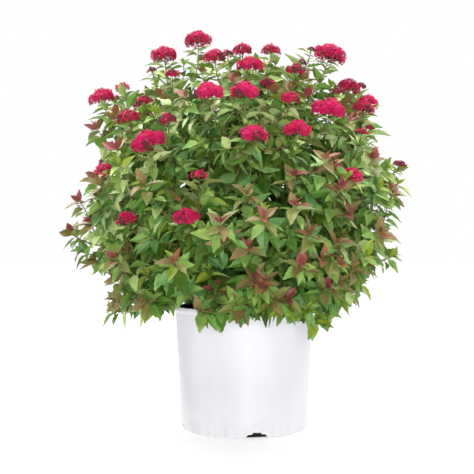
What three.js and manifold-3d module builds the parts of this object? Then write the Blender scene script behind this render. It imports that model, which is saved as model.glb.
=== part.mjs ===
// A spirea shrub in a nursery pot. A clump of stems rises from the potting mix, the outer stems fork
// into boughs, and each stem or bough ends at a mass of leafy twigs, many of them tipped with a domed
// flower head. Millimetres, +Z up, origin at the middle of the pot's flat underside, front towards -Y.
import * as THREE from "three";
import { mergeVertices } from "three/addons/utils/BufferGeometryUtils.js";
import Module from "manifold-3d";

const wasm = await Module();
wasm.setup();

// ---- Driving dimensions ----

const gap = 0.3; // clear space between neighbouring solids
const finest = 0.012; // no two corners of a joint are closer than this
const up = new THREE.Vector3(0, 0, 1);

const pot = {
  height: 240,
  rimRadius: 138,
  baseRadius: 125,
  wall: 2.6,
  floor: 3,
  footRound: 4,
  lipHeight: 13,
  lipProud: 2.2,
  sides: 36,
};
const drain = { count: 4, firstTurn: 11, footWidth: 44, topWidth: 27, height: 12, depth: 16 };
const soil = { level: 221, crownHeight: 3, sides: 18 };

// The crown is measured from its heart: its reach grows evenly from the drooping skirt to the top.
const crown = {
  heart: new THREE.Vector3(-12, 0, 330),
  levelReach: 308,
  reachPerDegree: 1.75,
  lowestRise: -28,
};

// One ring of foliage masses for each level of the crown, carried by stems or by boughs.
const rings = [
  { name: "crown_top", count: 3, rise: 72, firstTurn: 30, inner: 175, carrier: "stem" },
  { name: "shoulder", count: 6, rise: 42, firstTurn: 8, inner: 150, carrier: "stem" },
  { name: "waist", count: 8, rise: 13, firstTurn: -20, inner: 135, carrier: "bough", forkAt: 0.5 },
  { name: "skirt", count: 9, rise: -14, firstTurn: 0, inner: 128, carrier: "bough", forkAt: 0.24 },
];

const stem = {
  footRing: 38,
  innerShare: 0.32,
  innerTurn: 30,
  footRadius: 5,
  tipRadius: 3.1,
  flare: 2.6,
  flareHeight: 14,
  sides: 6,
  steps: 6,
};
const bough = { footRadius: 2.9, tipRadius: 2.1, footRise: 35, forkStep: 0.035, sides: 5, steps: 3 };
const twig = {
  footRadius: 3.6,
  tipRadius: 2.4,
  sideFootRadius: 1.25,
  sideTipRadius: 1.1,
  firstFork: 0.08,
  lastFork: 0.6,
  sides: 3,
  steps: 2,
};
const leaf = {
  length: 82,
  width: 42,
  thickness: 2,
  widestAt: 0.42,
  fold: 5,
  droop: 7,
  sunk: 0.4,
  spread: 62,
  tipSpread: 37,
  tipShare: 0.8,
  lean: 1.6,
  pastTip: 0.55,
  spacing: 27,
  smallest: 0.85,
  largest: 1.1,
  belowHead: [0.4, 0.9],
  onTip: [0.3, 0.985],
  turnsToTry: [0, 75, -75, 150, -150],
};
const bloom = { depthShare: 0.46, lean: 0.6, sides: 7, lumps: 0.07, room: 1.05 };
const goldenTurn = 137.508;

// Flower heads of the front half: turn from the front, rise from the heart, stand-out, and width.
const frontHeads = [
  [-51, 77, 3, 54], [-62, 68, 6, 50], [-12, 62, 0, 42], [3, 65, 0, 38],
  [21, 66, 0, 36], [6, 58, 0, 46], [65, 64, 24, 66], [14, 54, -16, 32],
  [28, 57, 0, 36], [-31, 56, 0, 28], [-11, 48, 0, 52], [3, 48, 0, 50],
  [71, 56, 2, 50], [20, 46, 0, 34], [36, 44, 0, 60], [66, 48, 0, 42],
  [-24, 40, 0, 32], [5, 35, 0, 46], [20, 37, 0, 46], [49, 38, 0, 22],
  [-30, 34, 0, 60], [-72, 48, 25, 46], [-71, 55, 1, 26], [-43, 42, 0, 46],
  [-38, 47, 0, 24], [-48, 27, 0, 36], [-11, 24, 0, 26], [-36, 13, 0, 34],
  [-15, 13, 0, 44], [38, 25, 0, 38], [77, 30, 12, 28],
];
// The hidden half repeats the front heads below this rise, turned round to the back.
const backHeads = { behind: 171, highestRise: 58, wander: 5, widthShare: 0.95 };

// Leafy twig tips: a spiral over the crown, closer together lower down, and a few sprays of their own.
const leafyTips = { count: 100, crowdedBelow: 1.3, clearOfHeads: 10, shortest: 0.9, longest: 1.04 };
const outSprays = [
  [-77, 10, 23], [-78, 19, 6], [-78, 4, 12], [-74, 42, 4], [-77, -22, 0], [66, 18, 6],
  [69, 2, 4], [46, -26, 0], [0, -27, 0], [16, -26, 0], [-16, -25, 0], [-40, -24, 0],
];

const colours = {
  potPlastic: 0xf2f2f4,
  pottingMix: 0x2a211b,
  bark: 0x6b4a35,
  foliage: 0x4f7f2e,
};

// ---- Solids ----

// A closed manifold solid from a three.js geometry, whatever seams its normals or texture gave it.
function solidOf(geometry) {
  const bare = new THREE.BufferGeometry().setAttribute("position", geometry.getAttribute("position"));
  bare.setIndex(geometry.getIndex());
  const merged = mergeVertices(bare, 1e-3);
  const triVerts = new Uint32Array(merged.getIndex().array);
  return new wasm.Manifold(
    new wasm.Mesh({ numProp: 3, vertProperties: merged.getAttribute("position").array, triVerts }),
  );
}

function geometryOf(solid) {
  const { vertProperties, triVerts } = solid.getMesh();
  const geometry = new THREE.BufferGeometry();
  geometry.setAttribute("position", new THREE.BufferAttribute(vertProperties, 3));
  geometry.setIndex(new THREE.BufferAttribute(triVerts, 1));
  geometry.computeVertexNormals();
  return geometry;
}

// A solid of revolution about Z from [radius, height] pairs.
function turned(profile, sides) {
  const points = profile.map(([radius, height]) => new THREE.Vector2(radius, height));
  return new THREE.LatheGeometry(points, sides).rotateX(Math.PI / 2);
}

function meshOf(name, geometry, colour, roughness) {
  const material = new THREE.MeshStandardMaterial({ color: colour, roughness, metalness: 0 });
  const mesh = new THREE.Mesh(geometry, material);
  mesh.name = name;
  return mesh;
}

// ---- Directions and chance ----

const radians = THREE.MathUtils.degToRad;

// Turn runs from the front towards +X, rise from level to upright.
function direction(turn, rise) {
  const level = Math.cos(radians(rise));
  const [x, y] = [Math.sin(radians(turn)) * level, -Math.cos(radians(turn)) * level];
  return new THREE.Vector3(x, y, Math.sin(radians(rise)));
}

// A steady pseudo-random number from 0 to 1 for each key.
function chance(key) {
  const wave = Math.sin(key * 12.9898 + 4.1414) * 43758.5453;
  return wave - Math.floor(wave);
}

const between = (low, high, key) => low + (high - low) * chance(key);

function crownReach(rise) {
  return crown.levelReach + crown.reachPerDegree * rise;
}

// ---- Pot and potting mix ----

function potRadiusAt(height) {
  return THREE.MathUtils.lerp(pot.baseRadius, pot.rimRadius, height / pot.height);
}

function potGeometry() {
  const lipFoot = pot.height - pot.lipHeight;
  const body = turned(
    [
      [0, 0],
      [pot.baseRadius - pot.footRound, 0],
      [pot.baseRadius, pot.footRound],
      [potRadiusAt(lipFoot), lipFoot],
      [potRadiusAt(lipFoot) + pot.lipProud, lipFoot + pot.lipProud],
      [pot.rimRadius + pot.lipProud, pot.height],
      [pot.rimRadius - pot.wall, pot.height],
      [pot.baseRadius - pot.wall, pot.floor],
      [0, pot.floor],
    ],
    pot.sides,
  );
  return geometryOf(solidOf(body).subtract(wasm.Manifold.union(drainCutters())));
}

// Each drain is a flared notch through the foot of the wall, open below.
function drainCutters() {
  const outline = new THREE.Shape();
  outline.moveTo(-drain.footWidth / 2, -1);
  outline.lineTo(drain.footWidth / 2, -1);
  outline.lineTo(drain.topWidth / 2, drain.height);
  outline.lineTo(-drain.topWidth / 2, drain.height);
  return Array.from({ length: drain.count }, (_, i) => {
    const block = new THREE.ExtrudeGeometry(outline, { depth: 2 * drain.depth, bevelEnabled: false });
    block.rotateX(Math.PI / 2).translate(0, -pot.baseRadius + drain.depth, 0);
    block.rotateZ(radians(drain.firstTurn + (360 / drain.count) * i));
    return solidOf(block);
  });
}

// The mix fills the pot to its level and is a little higher in the middle, flat where the stems stand.
function soilGeometry() {
  const inside = (height) => potRadiusAt(height) - pot.wall - gap;
  const flat = stem.footRing + 3 * stem.footRadius;
  return turned(
    [
      [0, pot.floor + gap],
      [pot.baseRadius - pot.wall - gap, pot.floor + gap],
      [inside(soil.level), soil.level],
      [flat, soil.level + soil.crownHeight],
      [0, soil.level + soil.crownHeight],
    ],
    soil.sides,
  );
}

// Everything that foliage keeps out of round the pot, with a little room to spare.
function potSpace() {
  const room = 3;
  const rim = pot.rimRadius + pot.lipProud + room;
  const top = pot.height + room;
  return solidOf(turned([[0, -room], [pot.baseRadius + room, -room], [rim, top], [0, top]], pot.sides));
}

// ---- Limbs ----

// A tapering limb bent along a path. radiusAt goes from 0 at the foot to 1 at the tip.
function limbGeometry(path, radiusAt, sides, steps) {
  const tube = new THREE.CylinderGeometry(1, 1, 1, sides, steps);
  const spots = tube.getAttribute("position");
  const chord = path.getPoint(1).sub(path.getPoint(0));
  const level = new THREE.Vector3(-chord.y, chord.x, 0);
  if (level.length() < 1) level.set(1, 0, 0);
  for (let i = 0; i < spots.count; i++) {
    const along = spots.getY(i) + 0.5;
    const tangent = path.getTangent(along);
    const across = level.clone().projectOnPlane(tangent).normalize();
    const other = new THREE.Vector3().crossVectors(across, tangent);
    const spot = path.getPoint(along);
    spot.addScaledVector(across, spots.getX(i) * radiusAt(along));
    spot.addScaledVector(other, spots.getZ(i) * radiusAt(along));
    spots.setXYZ(i, spot.x, spot.y, spot.z);
  }
  return tube;
}

// The point and the way on the straight stretches that a limb of so many steps is made of.
function spotOn(path, steps, along) {
  const step = Math.min(Math.floor(along * steps), steps - 1);
  const start = path.getPoint(step / steps);
  const end = path.getPoint((step + 1) / steps);
  return { point: start.clone().lerp(end, along * steps - step), way: end.sub(start).normalize() };
}

// A cubic path that leaves one point along startWay and arrives at the other along endWay.
function bend(start, startWay, end, endWay, pull = 0.38) {
  const reach = start.distanceTo(end) * pull;
  return new THREE.CubicBezierCurve3(
    start,
    start.clone().addScaledVector(startWay, reach),
    end.clone().addScaledVector(endWay, -reach),
    end,
  );
}

// The masses in order, each with its own direction from the heart and the point where its limb arrives.
function layOutMasses() {
  return rings.flatMap((ring) =>
    Array.from({ length: ring.count }, (_, i) => {
      const turn = ring.firstTurn + (360 / ring.count) * i;
      const way = direction(turn, ring.rise);
      const entry = crown.heart.clone().addScaledVector(way, ring.inner);
      return { name: `${ring.name}_${i + 1}`, ring, turn, way, entry, tips: [] };
    }),
  );
}

// Each stem stands upright on the mix and leans out to its mass. The feet form an inner and an outer ring.
function growStems(masses) {
  const ground = soil.level + soil.crownHeight + gap;
  return masses
    .filter((mass) => mass.ring.carrier === "stem")
    .map((mass, i) => {
      const inner = mass.ring.name === "crown_top";
      const footWay = direction(mass.turn + (inner ? stem.innerTurn : 0), 0);
      const foot = footWay.multiplyScalar(stem.footRing * (inner ? stem.innerShare : 1)).setZ(ground);
      const path = bend(foot, up, mass.entry, mass.way);
      const radiusAt = (along) => {
        const rise = path.getPoint(along).z - ground;
        const taper = THREE.MathUtils.lerp(stem.footRadius, stem.tipRadius, along);
        return taper + stem.flare * Math.max(0, 1 - rise / stem.flareHeight) ** 2;
      };
      return { name: `stem_${i + 1}`, path, radiusAt, forks: !inner, ...stem };
    });
}

// Each bough leaves the outer stem nearest to its mass. Its foot is cut to the stem's side.
function growBoughs(masses, stems) {
  const outer = stems.filter((each) => each.forks);
  return masses
    .filter((mass) => mass.ring.carrier === "bough")
    .map((mass, i) => {
      const share = mass.ring.forkAt + bough.forkStep * (i % 3);
      const farness = (each) => each.path.getPoint(share).distanceTo(mass.entry);
      const carrier = outer.reduce((best, each) => (farness(each) < farness(best) ? each : best));
      const foot = carrier.path.getPoint(share);
      const path = bend(foot, direction(mass.turn, bough.footRise), mass.entry, mass.way);
      const radiusAt = (along) => THREE.MathUtils.lerp(bough.footRadius, bough.tipRadius, along);
      return { name: `bough_${i + 1}`, path, radiusAt, carrier, ...bough };
    });
}

function limbSolid(limb, fatter = 0) {
  const radiusAt = (along) => limb.radiusAt(along) + fatter;
  const whole = solidOf(limbGeometry(limb.path, radiusAt, limb.sides, limb.steps));
  return limb.carrier ? whole.subtract(limbSolid(limb.carrier, gap)) : whole;
}

// ---- Twig tips ----

// Flower heads and leafy tips, each given to the mass whose direction is nearest.
function dealTips(masses) {
  const heads = frontHeads.map(([turn, rise, out, width]) => ({ turn, rise, out, width }));
  const behind = heads
    .filter((head) => head.rise < backHeads.highestRise)
    .map((head, i) => ({
      turn: head.turn + backHeads.behind + between(-1, 1, i + 0.2) * backHeads.wander,
      rise: head.rise + between(-1, 1, i + 0.6) * backHeads.wander,
      out: head.out,
      width: head.width * backHeads.widthShare,
    }));
  const sprays = outSprays.map(([turn, rise, out]) => ({ turn, rise, out, width: 0 }));
  const reaching = (tip) => ({ ...tip, reach: crownReach(tip.rise) + tip.out });
  const known = [...heads, ...behind, ...sprays].map(reaching);
  const tips = [...known, ...spiralTips(known)];
  tips.forEach((tip, i) => {
    const way = direction(tip.turn, tip.rise);
    const mass = masses.reduce((best, each) => (each.way.dot(way) > best.way.dot(way) ? each : best));
    mass.tips.push({ ...tip, way, key: i + 1 });
  });
}

// Leafy tips on a spiral from the skirt to the top, left out where a known tip already stands.
function spiralTips(known) {
  const lowest = Math.sin(radians(crown.lowestRise));
  const room = Math.cos(radians(leafyTips.clearOfHeads));
  const tips = [];
  for (let i = 0; i < leafyTips.count; i++) {
    const height = lowest + (1 - lowest) * ((i + 0.5) / leafyTips.count) ** leafyTips.crowdedBelow;
    const rise = THREE.MathUtils.radToDeg(Math.asin(height));
    const turn = goldenTurn * i;
    const way = direction(turn, rise);
    if (known.some((tip) => direction(tip.turn, tip.rise).dot(way) > room)) continue;
    const reach = crownReach(rise) * between(leafyTips.shortest, leafyTips.longest, i + 0.4);
    tips.push({ turn, rise, reach, width: 0 });
  }
  return tips;
}

// Where a twig ends and the way it points there: flower heads face up, leafy tips outward.
function finish(tip) {
  const way = tip.way.clone().multiplyScalar(tip.width ? bloom.lean : leaf.lean).add(up).normalize();
  const back = tip.width ? 0 : leaf.length * leaf.pastTip;
  const point = crown.heart.clone().addScaledVector(tip.way, tip.reach - back);
  if (tip.width) point.addScaledVector(way, -tip.width * bloom.depthShare * 0.5);
  return { point, way };
}

// ---- Foliage ----

// A flattened dome with a lumpy edge, on the end of its twig.
function bloomSolid(tip, share = 1) {
  const { point, way } = finish(tip);
  const radius = (tip.width / 2) * share;
  const depth = tip.width * bloom.depthShare * share;
  const dome = turned(
    [
      [0, -0.12 * depth],
      [radius, 0.32 * depth],
      [0.72 * radius, 0.82 * depth],
      [0, depth],
    ],
    bloom.sides,
  );
  const spots = dome.getAttribute("position");
  for (let i = 0; i < spots.count; i++) {
    const turn = Math.atan2(spots.getY(i), spots.getX(i));
    const lump = 1 + bloom.lumps * Math.sin(3 * turn + tip.key);
    spots.setXYZ(i, spots.getX(i) * lump, spots.getY(i) * lump, spots.getZ(i));
  }
  dome.applyQuaternion(new THREE.Quaternion().setFromUnitVectors(up, way));
  return solidOf(dome.translate(point.x, point.y, point.z));
}

// An eight-faced blade: base, tip, two edges, and the two sides of its midrib.
function leafSolid(root, axis, face, size) {
  const blade = new THREE.OctahedronGeometry(1);
  const spots = blade.getAttribute("position");
  const length = leaf.length * size;
  for (let i = 0; i < spots.count; i++) {
    const [x, y, z] = [spots.getX(i), spots.getY(i), spots.getZ(i)];
    const along = Math.abs(y) < 0.5 ? leaf.widestAt : (y + 1) / 2;
    const lift = Math.abs(x) * leaf.fold - (y > 0.5 ? leaf.droop : 0);
    spots.setXYZ(i, (x * leaf.width * size) / 2, along * length, (z * leaf.thickness) / 2 + lift * size);
  }
  const side = new THREE.Vector3().crossVectors(axis, face);
  const place = new THREE.Matrix4().makeBasis(side, axis, face).setPosition(root);
  return solidOf(blade.applyMatrix4(place));
}

// The places for leaves on a twig, from its middle to its tip, turned round it by the golden turn.
function leafPlaces(path, tip) {
  const [first, last] = tip.width ? leaf.belowHead : leaf.onTip;
  const count = Math.max(2, Math.round((path.getLength() * (last - first)) / leaf.spacing));
  return Array.from({ length: count + 1 }, (_, i) => ({
    along: THREE.MathUtils.lerp(first, last, i / count),
    around: goldenTurn * i + 360 * chance(tip.key + 0.1),
    atTip: !tip.width && i >= count - 1,
    size: between(leaf.smallest, leaf.largest, tip.key * 7 + i),
  }));
}

// A leaf at its place, turned further round the twig if asked, its face towards the twig's tip and the sky.
function leafAt(path, place, furtherRound) {
  const { point, way } = spotOn(path, twig.steps, place.along);
  const start = new THREE.Vector3(0.31, 0.17, -0.2).projectOnPlane(way).normalize();
  const around = start.applyAxisAngle(way, radians(place.around + furtherRound));
  const spread = radians(place.atTip ? leaf.tipSpread : leaf.spread);
  const axis = way.clone().multiplyScalar(Math.cos(spread)).addScaledVector(around, Math.sin(spread));
  axis.addScaledVector(up, -0.14).normalize();
  const face = way.clone().multiplyScalar(0.8).addScaledVector(up, 0.6).projectOnPlane(axis).normalize();
  const root = point.addScaledVector(axis, -leaf.sunk);
  return leafSolid(root, axis, face, place.size * (place.atTip ? leaf.tipShare : 1));
}

// Whether every corner of a solid lies in the mass's own space: nearer to its direction than to any other.
function staysIn(mass, masses, solid) {
  const { vertProperties } = solid.getMesh();
  const spot = new THREE.Vector3();
  const others = masses.filter((each) => each !== mass);
  for (let i = 0; i < vertProperties.length; i += 3) {
    spot.fromArray(vertProperties, i).sub(crown.heart);
    const own = spot.dot(mass.way);
    const crossed = others.some((each) => own - spot.dot(each.way) < gap * mass.way.distanceTo(each.way));
    if (crossed) return false;
  }
  return true;
}

// Whether two solids join into one body without corners that all but touch.
function joinsWell(one, other) {
  const joined = one.add(other);
  const { vertProperties } = joined.getMesh();
  const corners = Array.from({ length: vertProperties.length / 3 }, (_, i) =>
    new THREE.Vector3().fromArray(vertProperties, 3 * i),
  );
  const clear = (corner, i) => corners.slice(0, i).every((each) => each.distanceTo(corner) > finest);
  return corners.every(clear) && joined.decompose().length === 1;
}

// The twigs of one mass: a leader to the middle tip, and a side twig from the leader to every other tip.
// A side twig that would leave the mass's space runs straight, and one that still would is left out.
function growShoots(mass, masses, keepOut) {
  const ordered = [...mass.tips].sort((a, b) => b.way.dot(mass.way) - a.way.dot(mass.way));
  const start = mass.entry.clone().addScaledVector(mass.way, gap);
  const middle = finish(ordered[0]);
  const leader = bend(start, mass.way, middle.point, middle.way);
  const shootOn = (path, tip, footRadius, tipRadius) => {
    const radiusAt = (along) => THREE.MathUtils.lerp(footRadius, tipRadius, along);
    return { path, tip, solid: solidOf(limbGeometry(path, radiusAt, twig.sides, twig.steps)) };
  };
  const sideOn = (path, tip) => shootOn(path, tip, twig.sideFootRadius, twig.sideTipRadius);
  const fits = ({ solid }) => staysIn(mass, masses, solid) && solid.intersect(keepOut).isEmpty();
  const sides = ordered.slice(1).map((tip, i) => {
    const end = finish(tip);
    const along = THREE.MathUtils.lerp(twig.lastFork, twig.firstFork, i / ordered.length);
    const foot = spotOn(leader, twig.steps, along);
    const curved = sideOn(bend(foot.point, foot.way, end.point, end.way), tip);
    return fits(curved) ? curved : sideOn(new THREE.LineCurve3(foot.point, end.point), tip);
  });
  return [shootOn(leader, ordered[0], twig.footRadius, twig.tipRadius), ...sides.filter(fits)];
}

// One mass in one piece. A leaf that would leave the space or touch anything but its own twig is turned
// further round the twig, and is left out where no turn of it fits.
function growMass(mass, masses, keepOut) {
  const shoots = growShoots(mass, masses, keepOut);
  const blooms = shoots.filter((shoot) => shoot.tip.width).map((shoot) => bloomSolid(shoot.tip));
  let leafage = wasm.Manifold.union([...blooms, keepOut]);
  const blades = [];
  for (const shoot of shoots) {
    const others = wasm.Manifold.union(shoots.filter((each) => each !== shoot).map((each) => each.solid));
    const fits = (blade) =>
      staysIn(mass, masses, blade) &&
      blade.intersect(others).isEmpty() &&
      blade.intersect(leafage).isEmpty() &&
      joinsWell(shoot.solid, blade);
    for (const place of leafPlaces(shoot.path, shoot.tip)) {
      const blade = leaf.turnsToTry.map((turn) => leafAt(shoot.path, place, turn)).find(fits);
      if (!blade) continue;
      leafage = leafage.add(blade);
      blades.push(blade);
    }
  }
  const wood = shoots.map((shoot) => shoot.solid);
  const joined = wasm.Manifold.union([...wood, ...blooms, ...blades]).simplify(finest);
  return joined.decompose().reduce((largest, body) => (body.volume() > largest.volume() ? body : largest));
}

// ---- Assembly ----

const masses = layOutMasses();
const stems = growStems(masses);
const boughs = growBoughs(masses, stems);
const limbs = [...stems, ...boughs];
dealTips(masses);

const shrub = new THREE.Group();
shrub.add(meshOf("pot", potGeometry(), colours.potPlastic, 0.35));
shrub.add(meshOf("potting_mix", soilGeometry(), colours.pottingMix, 0.95));
for (const limb of limbs) shrub.add(meshOf(limb.name, geometryOf(limbSolid(limb)), colours.bark, 0.8));

const roomRoundLimbs = limbs.map((limb) => limbSolid({ ...limb, carrier: null }, gap));
for (const mass of masses) {
  const otherTips = masses.filter((each) => each !== mass).flatMap((each) => each.tips);
  const otherHeads = otherTips.filter((tip) => tip.width).map((tip) => bloomSolid(tip, bloom.room));
  const keepOut = wasm.Manifold.union([potSpace(), ...roomRoundLimbs, ...otherHeads]);
  const foliage = geometryOf(growMass(mass, masses, keepOut));
  shrub.add(meshOf(`foliage_${mass.name}`, foliage, colours.foliage, 0.6));
}

export default shrub;
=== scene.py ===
import math

import bmesh
import bpy
import numpy as np
from mathutils import Matrix, Vector, noise


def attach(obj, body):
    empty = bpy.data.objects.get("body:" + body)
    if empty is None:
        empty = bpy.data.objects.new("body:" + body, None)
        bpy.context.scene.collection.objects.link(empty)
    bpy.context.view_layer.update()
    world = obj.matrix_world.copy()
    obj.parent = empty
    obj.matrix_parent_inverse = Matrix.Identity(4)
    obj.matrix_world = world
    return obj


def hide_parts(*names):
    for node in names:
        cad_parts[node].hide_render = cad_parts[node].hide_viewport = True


# A potted spirea: the pot and its mix, barked stems and boughs, and the twigs, leaves and flower heads
# that grow on from them. Metres, +Z up, front towards -Y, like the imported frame.

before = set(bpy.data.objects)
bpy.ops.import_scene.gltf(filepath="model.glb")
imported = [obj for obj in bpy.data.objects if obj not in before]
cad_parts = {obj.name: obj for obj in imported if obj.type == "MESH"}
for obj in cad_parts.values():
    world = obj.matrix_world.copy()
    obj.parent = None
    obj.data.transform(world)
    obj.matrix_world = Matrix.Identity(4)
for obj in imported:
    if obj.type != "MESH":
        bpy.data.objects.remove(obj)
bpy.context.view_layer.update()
print("frame loaded with", len(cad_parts), "nodes")

foliageNodes = sorted(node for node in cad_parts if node.startswith("foliage_"))
goldenTurn = 137.508
up = np.array([0.0, 0.0, 1.0])


# Directions, chance and paths

def lerp(low, high, share):
    return low + (high - low) * share


def unit(way):
    return way / np.linalg.norm(way)


def direction(turn, rise):
    # turn runs from the front towards +X, rise from level to upright
    level = math.cos(math.radians(rise))
    turned = math.radians(turn)
    return np.array([math.sin(turned) * level, -math.cos(turned) * level, math.sin(math.radians(rise))])


def chance(key):
    # a steady pseudo-random number from 0 to 1 for each key
    wave = math.sin(key * 12.9898 + 4.1414) * 43758.5453
    return wave - math.floor(wave)


def between(low, high, key):
    return lerp(low, high, chance(key))


def dealt(draw, limits, rest):
    # the first name whose limit the draw stays under
    return next((name for name, limit in limits if draw < limit), rest)


def bend(start, startWay, end, endWay, pull=0.38):
    # a cubic path that leaves one point along startWay and arrives at the other along endWay
    reach = np.linalg.norm(end - start) * pull
    return np.array([start, start + startWay * reach, end - endWay * reach, end])


def pointsOn(path, along):
    t = np.asarray(along, float)[..., None]
    s = 1 - t
    return s**3 * path[0] + 3 * s * s * t * path[1] + 3 * s * t * t * path[2] + t**3 * path[3]


def waysOn(path, along):
    t = np.asarray(along, float)[..., None]
    s = 1 - t
    legs = np.diff(path, axis=0)
    slope = s * s * legs[0] + 2 * s * t * legs[1] + t * t * legs[2]
    return slope / np.linalg.norm(slope, axis=-1, keepdims=True)


def lengthOf(path):
    return np.linalg.norm(np.diff(pointsOn(path, np.linspace(0, 1, 9)), axis=0), axis=1).sum()


def turnedRound(way, around, degrees):
    # Rodrigues' turn of one vector round another
    angle = math.radians(degrees)
    cross = np.cross(around, way)
    return way * math.cos(angle) + cross * math.sin(angle) + around * (around @ way) * (1 - math.cos(angle))


# Meshes and materials

def shade(red, green, blue):
    # a colour from 0 to 255 as the linear values that a shader takes
    def linear(value):
        value /= 255
        return value / 12.92 if value <= 0.04045 else ((value + 0.055) / 1.055) ** 2.4
    return (linear(red), linear(green), linear(blue), 1)


def pieceFrom(name, mesh, finish, nodes, smooth=True):
    piece = bpy.data.objects.new(name, mesh)
    bpy.context.scene.collection.objects.link(piece)
    mesh.materials.clear()
    mesh.materials.append(finish)
    mesh.polygons.foreach_set("use_smooth", [smooth] * len(mesh.polygons))
    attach(piece, "root")
    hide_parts(*nodes)


def meshFromBmesh(name, bm):
    mesh = bpy.data.meshes.new(name)
    bm.to_mesh(mesh)
    bm.free()
    return mesh


def templateFrom(bm):
    # the corners and triangles of a small shape, ready to be laid out many times
    bmesh.ops.triangulate(bm, faces=bm.faces)
    bm.verts.index_update()
    corners = np.array([corner.co[:] for corner in bm.verts])
    triangles = np.array([[corner.index for corner in face.verts] for face in bm.faces])
    bm.free()
    return corners, triangles


def joinedMesh(name, parts):
    # one mesh from many [corners, triangles] parts
    corners, triangles, first = [], [], 0
    for partCorners, partTriangles in parts:
        corners.append(partCorners)
        triangles.append(partTriangles + first)
        first += len(partCorners)
    corners, triangles = np.concatenate(corners), np.concatenate(triangles)
    mesh = bpy.data.meshes.new(name)
    mesh.vertices.add(len(corners))
    mesh.vertices.foreach_set("co", corners.astype(np.float32).ravel())
    mesh.loops.add(triangles.size)
    mesh.loops.foreach_set("vertex_index", triangles.astype(np.int32).ravel())
    mesh.polygons.add(len(triangles))
    mesh.polygons.foreach_set("loop_start", np.arange(0, triangles.size, 3, dtype=np.int32))
    mesh.update(calc_edges=True)
    return mesh


def laidOut(template, places):
    # copies of a template, each with a root and the three scaled axes of its place
    corners, triangles = template
    roots = np.array([place[0] for place in places])
    axes = np.array([place[1] for place in places])
    spots = np.einsum("vk,nkc->nvc", corners, axes) + roots[:, None, :]
    copies = triangles[None] + (np.arange(len(places)) * len(corners))[:, None, None]
    return spots.reshape(-1, 3), copies.reshape(-1, 3)


def strewn(templates, placed):
    # the parts of one piece, from pairs of a template's number and a place
    parts = []
    for number, template in enumerate(templates):
        places = [place for which, place in placed if which == number]
        if places:
            parts.append(laidOut(template, places))
    return parts


def joinedPiece(name, parts, finish, nodes, smooth=True):
    pieceFrom(name, joinedMesh(name, parts), finish, nodes, smooth)
    print("  ", name, sum(len(part[1]) for part in parts), "triangles")


def feed(owner, node, inputs):
    # each input is given as a value or as the socket that feeds it
    for name, value in inputs.items():
        if isinstance(value, bpy.types.NodeSocket):
            owner.node_tree.links.new(value, node.inputs[name])
        else:
            node.inputs[name].default_value = value


def addNode(owner, kind, inputs, **settings):
    node = owner.node_tree.nodes.new("ShaderNode" + kind)
    for name, value in settings.items():
        setattr(node, name, value)
    feed(owner, node, inputs)
    return node


# where every finish changes tone, how far its roughness wanders, and how fine and deep its relief is
wander = {
    "toneFrom": 0.36, "toneTo": 0.64, "roughness": 0.07, "patchDetail": 3, "reliefDetail": 4,
    "reliefDepth": 0.001, "sheenRoughness": 0.4,
}


def finishOf(name, low, high, grain, roughness, bump, bumpGrain, gloss, streaks=(1, 1, 1), sheen=0):
    # a finish that wanders between two near colours over the piece, with fine relief
    material = bpy.data.materials.new(name)
    material.use_nodes = True
    place = addNode(material, "TexCoord", {})
    stretch = addNode(material, "Mapping", {"Vector": place.outputs["Object"], "Scale": streaks})
    spot = stretch.outputs["Vector"]
    patches = addNode(material, "TexNoise", {
        "Vector": spot, "Scale": grain, "Detail": wander["patchDetail"],
    })
    relief = addNode(material, "TexNoise", {
        "Vector": spot, "Scale": bumpGrain, "Detail": wander["reliefDetail"],
    })
    tones = addNode(material, "ValToRGB", {"Fac": patches.outputs["Fac"]})
    ends = ((wander["toneFrom"], low), (wander["toneTo"], high))
    for end, (position, colour) in zip(tones.color_ramp.elements, ends):
        end.position = position
        end.color = colour
    spread = addNode(material, "MapRange", {
        "Value": patches.outputs["Fac"],
        "To Min": roughness - wander["roughness"], "To Max": roughness + wander["roughness"],
    })
    raised = addNode(material, "Bump", {
        "Height": relief.outputs["Fac"], "Strength": bump, "Distance": wander["reliefDepth"],
    })
    surface = material.node_tree.nodes["Principled BSDF"]
    feed(material, surface, {
        "Base Color": tones.outputs["Color"], "Roughness": spread.outputs["Result"],
        "Normal": raised.outputs["Normal"], "Specular IOR Level": gloss,
    })
    if sheen:
        feed(material, surface, {"Sheen Weight": sheen, "Sheen Roughness": wander["sheenRoughness"]})
    return material


def spun(profile, steps):
    # a closed turned mesh from [radius, height] pairs that start and end on the axis
    bm = bmesh.new()
    corners = [bm.verts.new((radius, 0, height)) for radius, height in profile]
    edges = [bm.edges.new(pair) for pair in zip(corners, corners[1:])]
    bmesh.ops.spin(
        bm, geom=corners + edges, cent=(0, 0, 0), axis=(0, 0, 1), dvec=(0, 0, 0),
        angle=2 * math.pi, steps=steps, use_merge=True, use_duplicate=False,
    )
    bmesh.ops.remove_doubles(bm, verts=bm.verts, dist=1e-6)
    bmesh.ops.recalc_face_normals(bm, faces=bm.faces)
    return bm


# Pot

pot = {
    "height": 0.240, "rimRadius": 0.138, "baseRadius": 0.125, "wall": 0.0026, "skinDepth": 0.0025,
    "floor": 0.003, "footRound": 0.004, "footSteps": 5, "heel": 0.012, "steps": 480,
    "ribs": 40, "ribDepth": 0.0021, "ribFrom": 0.0065, "ribHeight": 0.024, "ribMargin": 0.0005,
    "ribRows": 10, "ribFoot": 0.0014, "ribSharpness": 4, "ribFade": 0.3,
    "wallFrom": 0.034, "wallRows": 8, "underLip": 0.004, "innerHeights": [0.22, 0.16, 0.10, 0.05],
    "lipHeight": 0.010, "lipProud": 0.0008, "lipDrop": 0.0012,
}
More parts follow.
